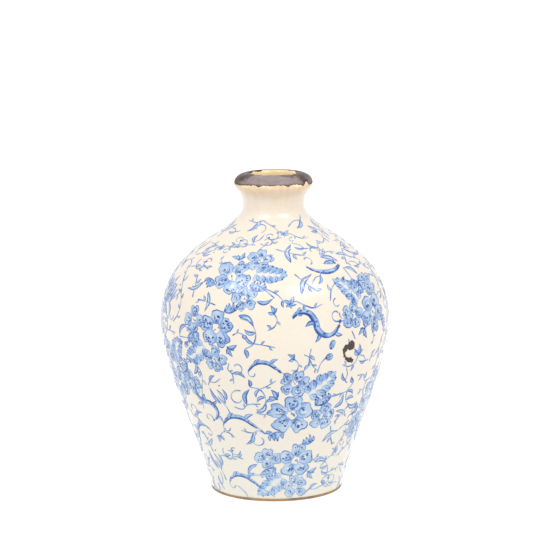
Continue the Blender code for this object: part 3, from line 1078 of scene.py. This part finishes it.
def toothed_leaf(spot, start, end, width, seed):
    """A broad pointed leaf of finger-like teeth on both sides of a pale rib, with a vein in each."""
    draw = np.random.default_rng(seed)
    start, end, way, length, side = ahead_and_left(start, end)
    ahead = way / length
    bend = side * draw.uniform(-0.07, 0.07) * length
    spine = [start, start + way * 0.5 + bend, end]
    ribbon(WASH, spot, spine, lens(width * 0.34, 0.7, 0.42), RIB_TONES, 0.12, 0.4)
    count = max(4, round(length / 4.2))
    tooth_width = lens(length / count * 0.55, 0.75, 0.54)
    for k in range(count):
        t = (k + 0.15) / count
        shift = bend * math.sin(math.pi * t)
        reach = width * 0.52 * math.sin(math.pi * (0.16 + 0.80 * t) ** 0.75)
        for hand in (-1, 1):
            root = start + way * t + shift + side * hand * 0.5
            tip = root + side * hand * reach * draw.uniform(0.88, 1.1)
            tip = tip + ahead * reach * draw.uniform(0.55, 0.8)
            out = tip - root
            middle = (root + tip) / 2 + side * hand * reach * 0.10 - ahead * 0.3
            ribbon(WASH, spot, [root, middle, tip], tooth_width, TOOTH_TONES[::hand], 0.2, 0.5)
            vein = [root + out * 0.35, middle + out * 0.08, root + out * 0.8]
            ribbon(LINE, spot, vein, taper(0.28, 0.4), (0.78, 0.70), 0.3)
            dot(spot, root + out * 0.86, draw.uniform(0.34, 0.56), 1.0, 1.7, draw.uniform(0, TURN))
    finger = [end - way * 0.22, end + ahead * 0.6]
    ribbon(WASH, spot, finger, lens(width * 0.13, 0.6, 0.4), TIP_TONES, 0.2, 0.4)


def comb_leaf(spot, start, end, reach, seed, fingers=5):
    """A leaf of pointed fingers along one side of a bowed rib."""
    draw = np.random.default_rng(seed)
    start, end, way, length, side = ahead_and_left(start, end)
    bow = side * -0.14 * length
    for k in range(fingers):
        t = (k + 0.4) / fingers
        root = start + way * t + bow * math.sin(math.pi * t) * 0.9
        tip = root + side * reach * (0.55 + 0.5 * math.sin(math.pi * t)) * draw.uniform(0.85, 1.15)
        tip = tip + way / length * draw.uniform(0.5, 1.8)
        middle = (root + tip) / 2 + way / length * 0.5
        ribbon(WASH, spot, [root, middle, tip], lens(1.15, 0.55, 0.4), COMB_TONES, 0.25, 0.6)
        turn = math.atan2(side[1], side[0])
        dot(spot, tip - (tip - root) * 0.12, draw.uniform(0.30, 0.48), 0.95, 1.9, turn)
        if draw.uniform() < 0.6:
            dot(spot, root + (tip - root) * 0.2, draw.uniform(0.36, 0.6), 1.0, 1.6, draw.uniform(0, TURN))
    ribbon(LINE, spot, [start, start + way * 0.5 + bow, end], lens(0.62, 0.6), (0.62, 0.86))


def slim_leaf(spot, start, end, width, bend=0.15, dark=0.72, split=False):
    """A pointed leaf, dark along one edge and at both ends, with a pale slit if asked."""
    start, end, way, length, side = ahead_and_left(start, end)
    middle = start + way * 0.5 + side * length * bend
    grid, faces = strip([start, middle, end], lens(width * 0.60, 0.95, 0.42), 5, 0.6)
    t = np.linspace(0, 1, len(grid))
    along = 0.86 + 0.65 * np.abs(2 * t - 0.9) ** 2.2
    tones = np.outer(along, (dark * 1.1, dark * 0.62, dark * 0.42, dark, dark * 1.5))
    WASH.add(spot, grid, np.minimum(tones, 1.0).ravel(), faces)
    if split:
        ribbon(SHADE, spot, [start + way * 0.2, middle, start + way * 0.85], lens(width * 0.15), SLIT_TONES)


def stem(spot, points, width=0.38, tone=0.56):
    """A thin line, a little uneven."""
    ribbon(LINE, spot, points, uneven(width), (tone, tone * 0.9), 0.28)


def scroll(spot, points, width, seed, middle=0.45):
    """A fat crescent with an indigo lower edge, a pale streak and dark knots."""
    draw = np.random.default_rng(seed)
    ribbon(WASH, spot, points, lens(width * 0.5, 0.75, middle), SCROLL_TONES, 0.2, 0.6)
    path = smooth(points, 1.0)
    for k in range(1, len(path) - 1):
        ahead = (path[k + 1] - path[k]) / np.linalg.norm(path[k + 1] - path[k])
        right = np.array([ahead[1], -ahead[0]])
        turn = math.atan2(ahead[1], ahead[0])
        if draw.uniform() < 0.45:
            dot(spot, path[k] + right * width * 0.22, draw.uniform(0.28, 0.46), 1.0, 3.6, turn)
        if draw.uniform() < 0.16:
            dot(spot, path[k] - right * width * 0.15, draw.uniform(0.26, 0.4), 0.9, 2.6, turn + 0.5)


def curl(spot, centre, radius, start, sweep, width=0.36, tone=0.54):
    """A line that winds inwards."""
    angles = start + np.linspace(0, sweep, max(6, int(abs(sweep) * 3)))
    reach = radius * (1 - 0.62 * np.linspace(0, 1, len(angles)))
    stem(spot, [np.array(centre) + towards(a, r) for r, a in zip(reach, angles)], width, tone)


def star(spot, centre, size, turn, leaves=4, spread=2.6):
    """Small pointed leaves that fan out from a dark knot."""
    centre = np.array(centre, float)
    for k in range(leaves):
        angle = turn + spread * (k / max(1, leaves - 1) - 0.5)
        tip = centre + towards(angle, size * (0.8 + 0.35 * (k % 2)))
        slim_leaf(spot, centre, tip, size * 0.38, 0.1 * (-1) ** k, 0.74)
    dot(spot, centre, 0.13 * size, 0.95, 1.5, turn)


def sprig(spot, points, seed, leaf=4.2, every=0.2, width=0.36, side=1):
    """A stem with small leaves on alternate sides."""
    draw = np.random.default_rng(seed)
    stem(spot, points, width)
    path = smooth(points, 0.5)
    for t in np.arange(every, 1.0, every):
        k = min(len(path) - 2, int(t * len(path)))
        ahead = path[k + 1] - path[k]
        angle = math.atan2(ahead[1], ahead[0]) + side * draw.uniform(0.6, 1.1)
        length = leaf * draw.uniform(0.75, 1.25)
        wide, dark, split = length * draw.uniform(0.27, 0.42), draw.uniform(0.6, 0.85), draw.uniform() < 0.3
        slim_leaf(spot, path[k], path[k] + towards(angle, length), wide, 0.12 * side, dark, split)
        side = -side


def bud(spot, centre, length, width, turn, seed):
    """A striped bud."""
    draw = np.random.default_rng(seed)
    centre, way, side = np.array(centre, float), towards(turn), towards(turn + math.pi / 2)

    def reach(a):
        return length * width / 4 / np.hypot(width / 2 * np.cos(a), length / 2 * np.sin(a))

    blot(WASH, spot, centre, reach, [(share, tone * 1.25) for share, tone in PETAL_RINGS], 18, turn, 0.2)
    for offset in (-0.28, 0.0, 0.28):
        start = centre + side * offset * width - way * length * 0.35
        ribbon(LINE, spot, [start, start + way * length * draw.uniform(0.4, 0.7)], lens(0.38), (0.98, 0.85))
    dot(spot, centre - way * length * 0.42, 0.8, 1.0, 1.5, turn + math.pi / 2)


# ---------------------------------------------------------------- groups of motifs, used all round the vase


def posy(spot, seed):
    """A big blossom with two small ones, a toothed leaf and two comb leaves between them."""
    blossom(spot, (0, 0), 25, seed)
    blossom(spot, (1.5, 21.0), 17.5, seed + 1)
    blossom(spot, (19.0, -3.5), 16.5, seed + 2, petals=4 + seed % 2)
    toothed_leaf(spot, (9.5, 12.5), (27.0, 25.0), 12.5, seed + 3)
    comb_leaf(spot, (13.5, 4.5), (24.5, 8.5), 6.5, seed + 4)
    comb_leaf(spot, (-4.0, -12.0), (-13.0, -13.5), 6.0, seed + 5, fingers=4)
    slim_leaf(spot, (26.5, 1.0), (33.5, 9.5), 2.4, -0.2)
    stem(spot, [(18, 8.5), (25, 9.5), (34, 10)])
    star(spot, (-9.0, 11.5), 6.0, 2.4, 4, 2.2)
    sprig(spot, [(-12, 3), (-16, 1.0), (-21, 2.5)], seed, 3.4, 0.4)


def long_scroll(spot, seed):
    """An S-shaped crescent with two short branches and a curl."""
    path = [(-16, 5), (-11, 8), (-5, 7), (-1.5, 2), (0, -3.5), (4.5, -7), (10, -6.5), (15, -0.5)]
    scroll(spot, path, 4.2, seed)
    slim_leaf(spot, (-1, 1), (-8, -1), 2.4, -0.15, 0.85)
    slim_leaf(spot, (1, -4.5), (-2, -11), 2.2, 0.15, 0.85)
    slim_leaf(spot, (11, -6), (17, -8), 2.2, -0.1, 0.75)
    curl(spot, (13, 4.5), 4.2, -1.2, -4.6)
    dot(spot, (15.2, 0.2), 0.8, 1.0, 1.6, 1.1)


def crescent(spot, seed):
    """A hanging crescent with pointed leaves at one end."""
    scroll(spot, [(-12, 3), (-7, -1.2), (0, -3), (7, -2), (12.5, 1.5)], 3.4, seed, 0.55)
    star(spot, (9, 3), 7.5, 2.4, 4, 1.5)
    slim_leaf(spot, (1, 8.5), (13, 3.5), 2.6, 0.12, 0.8, True)
    curl(spot, (-9, 7), 3.6, -1.4, 4.4)
    sprig(spot, [(2, 9), (8, 12), (15, 11)], seed + 1, 3.6, 0.35)


def arch(spot, seed):
    """A low arch with a curl under one foot and a leaf at the other."""
    scroll(spot, [(-13, -3), (-9, 1), (-4, 3.2), (2, 2.4), (7, -1.2), (12, -5)], 3.2, seed, 0.5)
    curl(spot, (-9.5, -5.5), 3.8, 1.9, 4.6)
    slim_leaf(spot, (-8, 0.5), (-4, 5.8), 2.2, 0.15, 0.75)
    slim_leaf(spot, (3, 1.6), (9, 5.6), 2.2, 0.15, 0.7)
    sprig(spot, [(12, -5), (15, -8), (20, -8.5)], seed + 1, 3.8, 0.4)


def wavy_twig(spot, seed):
    """A wavering twig with a star half way along it."""
    path = [(-17, 9), (-9.5, 5), (-5, 0), (-2, -1.5), (2, 0), (8, -3), (13, -4.5), (19, -2.5)]
    sprig(spot, path, seed, 4.0, 0.17)
    star(spot, (-2, -1.5), 3.8, 1.2, 5, 5.0)
    curl(spot, (4.5, -7.0), 3.0, 1.5, 4.4)


def hooked_twig(spot, seed):
    """A long twig that bends over, with pointed leaves and a hanging curl."""
    sprig(spot, [(-18, -9), (-14, -1), (-7, 3.8), (3, 3), (14, 1.5), (25, 1)], seed, 5.6, 0.15)
    sprig(spot, [(4, 2.5), (2, -4), (0.5, -9), (4, -14)], seed + 1, 4.4, 0.25, side=-1)
    curl(spot, (-13, -11), 3.6, 1.6, 4.2)


def loop_pair(spot, seed):
    """Two crossing loops of thin line with a dark knot where they cross."""
    draw = np.random.default_rng(seed)
    curl(spot, (0, 0), 5.4, draw.uniform(0, TURN), 5.6)
    curl(spot, (5.5, 3.0), 4.4, draw.uniform(0, TURN), -5.2)
    sprig(spot, [(-10, -4), (-4.5, -3), (0, -5), (5, -2), (11, -3.5)], seed, 4.4, 0.28)
    dot(spot, (3.4, 2.4), 0.75, 0.9, 1.6, 0.7)


def leaf_arc(spot, seed):
    """A curved stem with leaves on its outer side and a side stem."""
    stem(spot, [(-6, 9), (1, 6.5), (4.5, 0), (3, -7), (-3, -11)])
    slim_leaf(spot, (-7, 10.5), (3.5, 3.5), 2.9, 0.18, 0.8, True)
    slim_leaf(spot, (4.5, 0), (-3, 2.0), 2.4, 0.2, 0.7)
    slim_leaf(spot, (3, -7), (-2.0, -1.5), 2.0, 0.2, 0.8)
    slim_leaf(spot, (-3, -11), (-1.5, -17), 2.6, 0.15, 0.85)
    sprig(spot, [(3, -7), (10, -8), (17, -9.5)], seed, 3.6, 0.36)


def spray(spot, seed):
    """Three long narrow leaves side by side on a thin stem."""
    slim_leaf(spot, (-2, -6), (-3.5, 8), 2.5, 0.1, 0.85)
    slim_leaf(spot, (1.2, -7), (1.5, 5), 2.3, -0.1, 0.7, True)
    slim_leaf(spot, (3.8, -5), (6.0, 4), 1.8, -0.12, 0.8)
    stem(spot, [(0, -15), (0.6, -10), (0, -5), (-1, 0)])
    dot(spot, (5.2, 6.5), 0.6, 0.9)


def bud_pair(spot, seed):
    """Two buds on a forked stem with a thorny twig beside them."""
    bud(spot, (2.5, 4.5), 7.0, 4.8, 1.2, seed)
    bud(spot, (0.5, -4.5), 6.0, 5.6, 0.2, seed + 1)
    stem(spot, [(-2.5, -5), (-6, -9), (-8, -16)])
    sprig(spot, [(-19, -1), (-15, -4), (-12, -10), (-8, -14)], seed, 4.0, 0.22)
    sprig(spot, [(-14, 3), (-15, -4), (-14, -10)], seed + 2, 5.0, 0.45)


# Fillers draw within a reach given in millimetres, with strokes of the usual width.


def bent_twig(spot, r, seed):
    """A twig that rises in the middle and ends in a dot."""
    path = [(-r, -0.35 * r), (-0.3 * r, 0.3 * r), (0.35 * r, 0.1 * r), (0.95 * r, 0.5 * r)]
    sprig(spot, path, seed, 0.55 * r, 0.26)
    dot(spot, path[-1], 0.5, 0.9, 1.5, 0.5)


def leaf_fan(spot, r, seed):
    """Three leaves that fan out from the end of a drooping twig."""
    star(spot, (0.2 * r, 0), 0.62 * r, 1.3 + 0.2 * (seed % 3), 3, 1.9)
    path = [(0.2 * r, 0), (0.1 * r, -0.5 * r), (-0.4 * r, -0.8 * r), (-r, -0.7 * r)]
    sprig(spot, path, seed, 0.4 * r, 0.4)


def curled_leaf(spot, r, seed):
    """A curl and a leaf over a low twig."""
    curl(spot, (-0.25 * r, 0), 0.6 * r, 0.4 * seed, 4.8)
    slim_leaf(spot, (0.1 * r, -0.6 * r), (0.8 * r, 0.4 * r), 0.26 * r, 0.2, 0.8)
    path = [(-0.8 * r, -0.5 * r), (-0.3 * r, -0.8 * r), (0.2 * r, -0.6 * r), (r, -0.8 * r)]
    sprig(spot, path, seed, 0.35 * r, 0.4)


def crossed_twig(spot, r, seed):
    """A twig with a long leaf across it."""
    sprig(spot, [(-0.8 * r, 0.5 * r), (0, 0), (0.9 * r, -0.4 * r)], seed, 0.45 * r, 0.3)
    slim_leaf(spot, (-0.2 * r, -0.8 * r), (0.3 * r, 0.8 * r), 0.28 * r, 0.15, 0.75, True)


def lone_leaf(spot, r, seed):
    """One leaf on a bent stem."""
    slim_leaf(spot, (-0.7 * r, -0.3 * r), (0.5 * r, 0.3 * r), 0.34 * r, 0.18, 0.8)
    stem(spot, [(-1.1 * r, -0.7 * r), (-0.7 * r, -0.3 * r), (0.1 * r, -0.5 * r), (1.1 * r, -0.2 * r)], 0.34)


# ---------------------------------------------------------------- the layout round the vase

# Each row places one group: azimuth in degrees, height in millimetres, turn in degrees, then size and flip.
LAYOUT = {
    posy: [
        (-26, 143, -40, 0.92), (-30, 113, 178, 0.92), (9, 59, 2, 1.05), (14, 28, 185, 0.90),
        (58, 118, 92, 0.95), (-67, 73, 20, 0.95), (70, 62, 150, 0.95, True), (100, 134, 215, 0.92),
        (118, 88, -20), (132, 38, 190, 0.95, True), (155, 140, -30, 0.92, True), (172, 97, 170),
        (-168, 50, 10, 1, True), (-140, 128, 60, 0.95), (-118, 84, 185, 0.95, True),
        (-100, 35, 0, 0.95), (-88, 132, 160, 0.92, True),
    ],
    long_scroll: [
        (21, 116, 0), (92, 101, 60, 0.9, True), (146, 66, 20), (-150, 88, -40, 1, True),
        (-108, 108, 90, 0.9), (-43, 64, 100, 0.8, True), (-160, 158, 10, 0.7),
    ],
    crescent: [
        (33, 147, 0), (124, 117, 15, 1, True), (-115, 152, 0, 0.9), (-172, 120, -10),
        (76, 152, -20, 0.8, True), (-80, 98, 30, 0.9), (150, 15, 0, 0.9, True),
    ],
    bud_pair: [
        (27, 99, 0, 0.85), (-52, 102, 70, 0.7, True), (95, 78, 20, 0.9), (-132, 42, 0, 0.9),
        (163, 120, -30, 0.9),
    ],
    arch: [
        (-5, 91, 0, 0.85), (-22, 54, 0), (-27, 14, 0, 0.9), (100, 62, 10, 1, True), (-143, 58, 0),
        (-60, 43, 30, 0.9, True), (-178, 22, 0, 0.9), (86, 20, 0, 0.85), (178, 158, 10, 0.8),
    ],
    wavy_twig: [
        (9, 130, 0), (150, 118, 80, 0.9, True), (-130, 108, 20), (104, 42, -60, 0.9),
        (-150, 25, 30, 1, True), (-48, 158, 25, 0.8), (46, 32, 80, 0.8), (14, 166, -12, 0.8),
    ],
    hooked_twig: [
        (43, 136, 0, 0.9), (-60, 128, -70, 0.8, True), (-45, 78, -100, 0.8), (138, 90, 60, 0.9),
        (-165, 74, -20, 0.9, True), (68, 92, 80, 0.8, True), (-125, 58, 80, 0.8, True),
    ],
    loop_pair: [
        (-7, 162, 40, 0.8), (39, 118, 0, 0.7, True), (52, 51, 20, 0.9), (50, 10, 0, 0.8, True),
        (-36, 31, 0, 0.9), (-29, 161, 10, 0.8, True), (-55, 148, 0, 0.9), (126, 152, 0, 0.9, True),
        (-90, 60, 40, 0.9), (165, 76, 0, 0.9, True), (115, 14, 0, 0.9), (-130, 160, 30, 0.8, True),
    ],
    leaf_arc: [
        (-13, 112, 0, 0.95), (47, 66, 200, 0.9), (-9, 70, 200, 0.85, True),
        (105, 112, 0, 0.95, True), (152, 42, 180, 0.9), (-152, 110, 60, 0.9, True),
        (-108, 12, 90, 0.8), (-72, 112, 10, 0.9), (62, 38, 20, 0.85, True), (38, 20, 20, 0.8),
    ],
    spray: [
        (-70, 132, -30), (-64, 92, 15, 0.9, True), (-52, 24, 20, 0.95), (-33, 70, 25, 0.9),
        (80, 40, 10, 0.9, True), (-60, 155, -60, 0.8), (112, 158, 60, 0.8),
        (-155, 140, 160, 0.9, True), (160, 56, 200, 0.9), (74, 78, 0, 0.9),
    ],
}
FILLERS = (bent_twig, leaf_fan, curled_leaf, crossed_twig)
SHOULDER_LINE = OUTER.distance_at(0.171)
# A place at the front that fillers leave bare.
CLEARING_AZIMUTH = math.radians(6)
CLEARING_HEIGHT = 110 * MM
CLEARING_REACH = 0.009
# The least bare reach that takes a filler, and a lone leaf, and how many places are tried for each.
FILLER_GAP = 0.0060
LEAF_GAP = 0.0046
GAP_TRIES = 9000
# The most of a gap that one filler takes up, and how far it runs on past it, in millimetres.
LARGEST_GAP = 8.5
FILLER_OVERLAP = 1.2


def drawn_tree():
    """Everything drawn so far, as a tree of points for finding what is near."""
    azimuth, s = np.vstack(WASH.places + LINE.places).T
    points = around(OUTER.at(s), azimuth)
    tree = KDTree(len(points))
    for i, point in enumerate(points):
        tree.insert(point, i)
    tree.balance()
    return tree


def gaps(smallest, tries, seed):
    """Bare places on the wall with more clear glaze round them than smallest, in no order."""
    draw = np.random.default_rng(seed)
    tree = drawn_tree()
    clearing = OUTER.at(OUTER.distance_at(CLEARING_HEIGHT))
    taken = [(Vector(around(clearing, CLEARING_AZIMUTH)), CLEARING_REACH)]
    for _ in range(tries):
        azimuth, s = draw.uniform(-math.pi, math.pi), draw.uniform(PRINT_LOW, SHOULDER_LINE)
        if draw.uniform() * BELLY[0] > radius_at(s):
            continue
        here = Vector(around(OUTER.at(s), azimuth))
        clear = min([tree.find(here)[2]] + [(here - other).length - reach for other, reach in taken])
        if clear > smallest:
            taken.append((here, clear))
            yield math.degrees(azimuth), here.z / MM, clear / MM


def draw_print():
    """The groups of the layout, then fillers in the bare places between them."""
    for order, (group, rows) in enumerate(LAYOUT.items()):
        for k, row in enumerate(rows):
            group(Spot(*row), 100 * order + 7 * k + 3)
    draw = np.random.default_rng(5)
    for k, (azimuth, height, clear) in enumerate(gaps(FILLER_GAP, GAP_TRIES, 1)):
        filler = FILLERS[draw.integers(len(FILLERS))]
        filler(Spot(azimuth, height, draw.uniform(0, 360)), min(clear, LARGEST_GAP) + FILLER_OVERLAP, k)
    for k, (azimuth, height, clear) in enumerate(gaps(LEAF_GAP, GAP_TRIES, 2)):
        lone_leaf(Spot(azimuth, height, draw.uniform(0, 360)), clear, k)


# ---------------------------------------------------------------- floor, light and camera

FLOOR_REACH = 3.0
FLOOR_GLOW = 0.70
WORLD_STRENGTH = 1.01

# The camera's place, its tilt down and its roll, and its lens in millimetres.
CAMERA_PLACE = (-0.0049, -1.4, 0.369)
CAMERA_PITCH = 0.1617
CAMERA_ROLL = -0.0113
CAMERA_LENS = 153.0
SENSOR_WIDTH = 36.0

# Two softboxes, high to the left and to the right, that face the middle of the vase.
SOFTBOXES = {"left_box": (-0.62, -0.68, 1.30), "right_box": (0.68, -0.74, 1.18)}
SOFTBOX_AIM = (0, 0, 0.11)
SOFTBOX_SIZE = (0.80, 0.42)
SOFTBOX_POWER = 5.4


def make_floor():
    """A white floor that glows a little, so that it comes out as white as the backdrop."""
    mesh = bpy.data.meshes.new("floor")
    corners = [(x * FLOOR_REACH, y * FLOOR_REACH, 0) for x, y in ((-1, -1), (1, -1), (1, 1), (-1, 1))]
    mesh.from_pydata(corners, [], [(0, 1, 2, 3)])
    floor = bpy.data.objects.new("floor", mesh)
    bpy.context.scene.collection.objects.link(floor)
    material = bpy.data.materials.new("white_sweep")
    material.use_nodes = True
    shader = material.node_tree.nodes["Principled BSDF"]
    shader.inputs["Base Color"].default_value = (0.4, 0.4, 0.4, 1)
    shader.inputs["Roughness"].default_value = 0.7
    shader.inputs["Emission Color"].default_value = (1, 1, 1, 1)
    shader.inputs["Emission Strength"].default_value = FLOOR_GLOW
    mesh.materials.append(material)
    floor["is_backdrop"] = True


def make_world():
    """Even white light from all round."""
    world = bpy.data.worlds.new("studio")
    world.use_nodes = True
    background = world.node_tree.nodes["Background"]
    background.inputs[0].default_value = (1, 1, 1, 1)
    background.inputs[1].default_value = WORLD_STRENGTH
    bpy.context.scene.world = world


def make_softbox(name, place):
    """A rectangular studio light that faces the vase."""
    data = bpy.data.lights.new(name, "AREA")
    data.shape = "RECTANGLE"
    data.size, data.size_y = SOFTBOX_SIZE
    data.energy = SOFTBOX_POWER
    light = bpy.data.objects.new(name, data)
    way = Vector(SOFTBOX_AIM) - Vector(place)
    light.matrix_world = Matrix.Translation(place) @ way.to_track_quat("-Z", "Y").to_matrix().to_4x4()
    bpy.context.scene.collection.objects.link(light)


def make_camera():
    """A long lens from a little above, looking down at the vase."""
    data = bpy.data.cameras.new("camera")
    data.lens = CAMERA_LENS
    data.sensor_width = SENSOR_WIDTH
    camera = bpy.data.objects.new("camera", data)
    tilt = Matrix.Rotation(math.pi / 2 - CAMERA_PITCH, 4, "X") @ Matrix.Rotation(CAMERA_ROLL, 4, "Z")
    camera.matrix_world = Matrix.Translation(CAMERA_PLACE) @ tilt
    bpy.context.scene.collection.objects.link(camera)
    bpy.context.scene.camera = camera


make_clay()
make_cream()
make_slip()
make_lip()
make_liner()
make_base()
draw_print()
for sheet in (WASH, SHADE, LINE):
    sheet.finish(PRINT)
make_floor()
make_world()
for name, place in SOFTBOXES.items():
    make_softbox(name, place)
make_camera()
bpy.context.scene.view_settings.view_transform = "Standard"

boxes = {"cad": CAD_BOX, "visual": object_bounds()}
{name: [[float(x) for x in corner] for corner in box] for name, box in boxes.items()}
